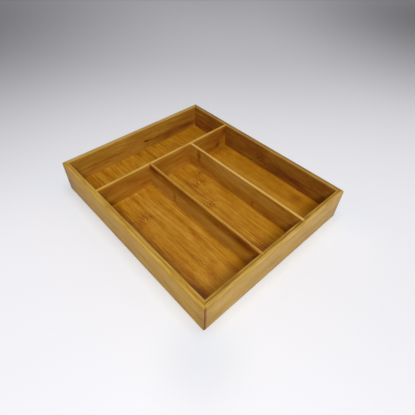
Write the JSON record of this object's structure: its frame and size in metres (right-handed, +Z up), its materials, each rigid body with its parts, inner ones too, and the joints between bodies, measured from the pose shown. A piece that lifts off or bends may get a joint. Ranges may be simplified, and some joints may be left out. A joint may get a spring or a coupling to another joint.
{
  "type": "cutlery tray",
  "caption": "Open rectangular bamboo tray with mitred walls, a grooved-in floor panel, and thin dividers that part a pocket across the back from long lanes.",
  "frame": {"origin": "middle of the tray's footprint, on the surface that it stands on", "axes": "+Z up, +Y along the long side from the front wall to the back pocket, +X across to the right"},
  "size_m": [0.26, 0.31, 0.05],
  "materials": {
    "wall_bamboo": "satin",
    "floor_bamboo": "satin",
    "divider_bamboo": "satin"
  },
  "bodies": {
    "root": {"front_wall": "wall_bamboo", "back_wall": "wall_bamboo", "left_wall": "wall_bamboo", "right_wall": "wall_bamboo", "floor_panel": "floor_bamboo", "cross_divider": "divider_bamboo", "left_divider": "divider_bamboo", "right_divider": "divider_bamboo"}
  },
  "joints": []
}
